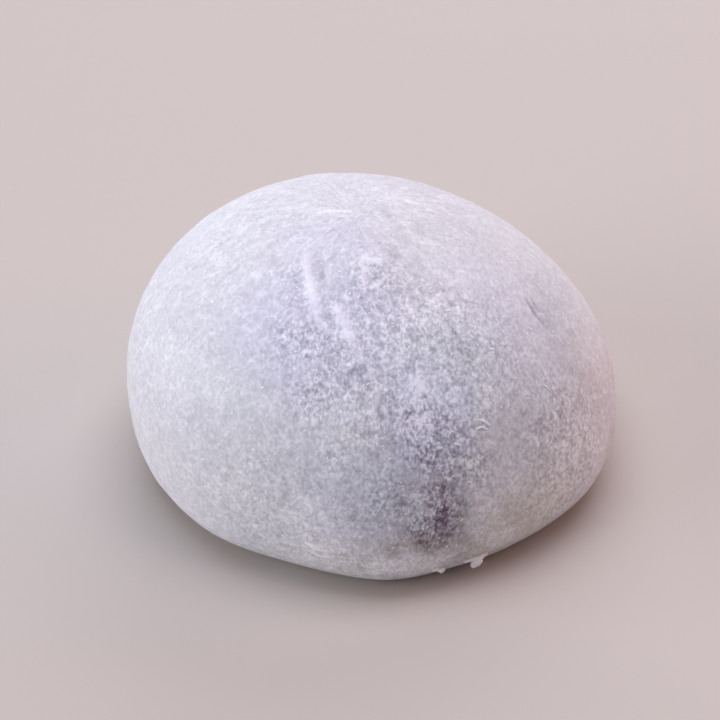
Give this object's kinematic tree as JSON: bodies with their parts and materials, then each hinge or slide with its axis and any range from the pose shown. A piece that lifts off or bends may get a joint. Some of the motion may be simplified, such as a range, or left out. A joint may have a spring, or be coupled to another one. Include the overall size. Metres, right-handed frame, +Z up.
{
  "type": "mochi rice cake",
  "caption": "Round filled rice cake (daifuku): one soft, starch-dusted dome of rice dough resting on its flattened foot.",
  "frame": {"origin": "middle of the cake's bounding box, on the floor under its flat foot", "axes": "+Z up from the foot to the crown, -Y towards the front of the cake, +X to its right seen from the front"},
  "size_m": [0.0552, 0.0558, 0.0314],
  "materials": {
    "dough_skin": "dull white translucent rice dough dusted with starch, the dark filling showing faintly through"
  },
  "bodies": {
    "root": {"rice_cake": "dough_skin"}
  },
  "joints": []
}
